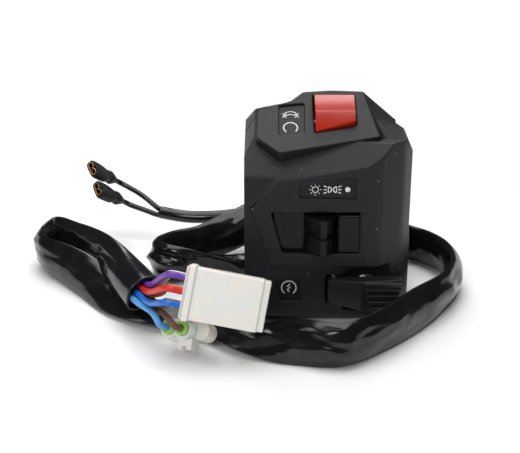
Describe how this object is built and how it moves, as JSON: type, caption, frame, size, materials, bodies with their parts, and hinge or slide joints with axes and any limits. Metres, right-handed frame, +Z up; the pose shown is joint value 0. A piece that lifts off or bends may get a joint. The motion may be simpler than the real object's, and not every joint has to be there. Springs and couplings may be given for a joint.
{
  "type": "handlebar switch cluster",
  "caption": "Black right-hand handlebar switch housing with a red stop rocker, light slider, starter paddle, bar clamp and a looped wiring harness with white connectors.",
  "frame": {"origin": "centre of the handlebar's axis, halfway along the housing", "axes": "+X along the bar towards the grip, +Y away from the rider, +Z up; it stands on its foot at Z = -42 mm"},
  "size_m": [0.1482, 0.1116, 0.0707],
  "materials": {
    "housing": "fine moulded texture, matte black",
    "label": "satin black plate with white printed symbols",
    "rocker": "glossy red",
    "knob": "satin black",
    "base": "grey-green moulding",
    "steel": "zinc-plated steel",
    "spring": "spring steel",
    "brass": "plain brass",
    "sleeve": "shiny black soft PVC",
    "rubber": "black rubber",
    "lead": "black insulated wire",
    "shell": "milky white nylon",
    "seal": "green silicone",
    "purple": "purple insulation",
    "red": "red insulation",
    "orange": "orange insulation",
    "blue": "blue insulation",
    "white": "white insulation",
    "grey": "grey insulation",
    "brown": "brown insulation",
    "sky": "light blue insulation"
  },
  "bodies": {
    "housing": {"rear_housing": "housing", "front_housing": "housing", "housing_screws": "steel", "kill_label_plate": "label", "light_label_plate": "label", "starter_label_plate": "label", "kill_pivot_pin": "steel", "kill_switch_base": "base", "kill_fixed_contacts": "brass", "light_switch_base": "base", "light_fixed_contacts": "brass", "light_stop_block": "knob", "starter_pivot_pin": "steel", "starter_return_spring": "spring", "starter_switch_base": "base", "starter_fixed_contacts": "brass", "base_screws": "steel", "kill_lead": "lead", "light_lead": "lead", "starter_lead": "lead", "loom_grommet": "rubber", "brake_grommet": "rubber", "main_sleeve": "sleeve", "brake_lead": "sleeve", "brake_wires": "lead", "spade_boots": "rubber", "spade_terminals": "brass", "six_way_shell": "shell", "six_way_terminals": "brass", "wire_purple": "purple", "wire_red": "red", "wire_orange": "orange", "wire_blue": "blue", "wire_white": "white", "wire_grey": "grey", "two_way_shell": "shell", "two_way_lock": "shell", "two_way_seals": "seal", "two_way_terminals": "brass", "wire_brown": "brown", "wire_sky": "sky"},
    "kill_rocker": {"kill_rocker": "rocker", "kill_detent_spring": "spring", "kill_detent_ball": "steel", "kill_contact_bridge": "brass"},
    "light_slider": {"light_slider": "knob", "light_detent_spring": "spring", "light_detent_ball": "steel", "light_contact_bridge": "brass"},
    "starter_paddle": {"starter_paddle": "knob", "starter_contact_cap": "brass"}
  },
  "joints": [
    {"name": "kill_rocker_tilt", "type": "hinge", "parent": "housing", "child": "kill_rocker", "pos_m": [0.0018, -0.01294, 0.01996], "axis": [-1, 0, 0], "range_deg": [0, 8]},
    {"name": "light_slide", "type": "slide", "parent": "housing", "child": "light_slider", "axis": [1, 0, 0], "range_m": [-0.006, 0]},
    {"name": "starter_press", "type": "hinge", "parent": "housing", "child": "starter_paddle", "pos_m": [0.0019, -0.02855, -0.0294], "axis": [0, 0, 1], "range_deg": [0, 7], "stiffness_Nm_per_rad": 0.15, "springref_deg": -5.73, "deforming": ["starter_return_spring"]}
  ]
}
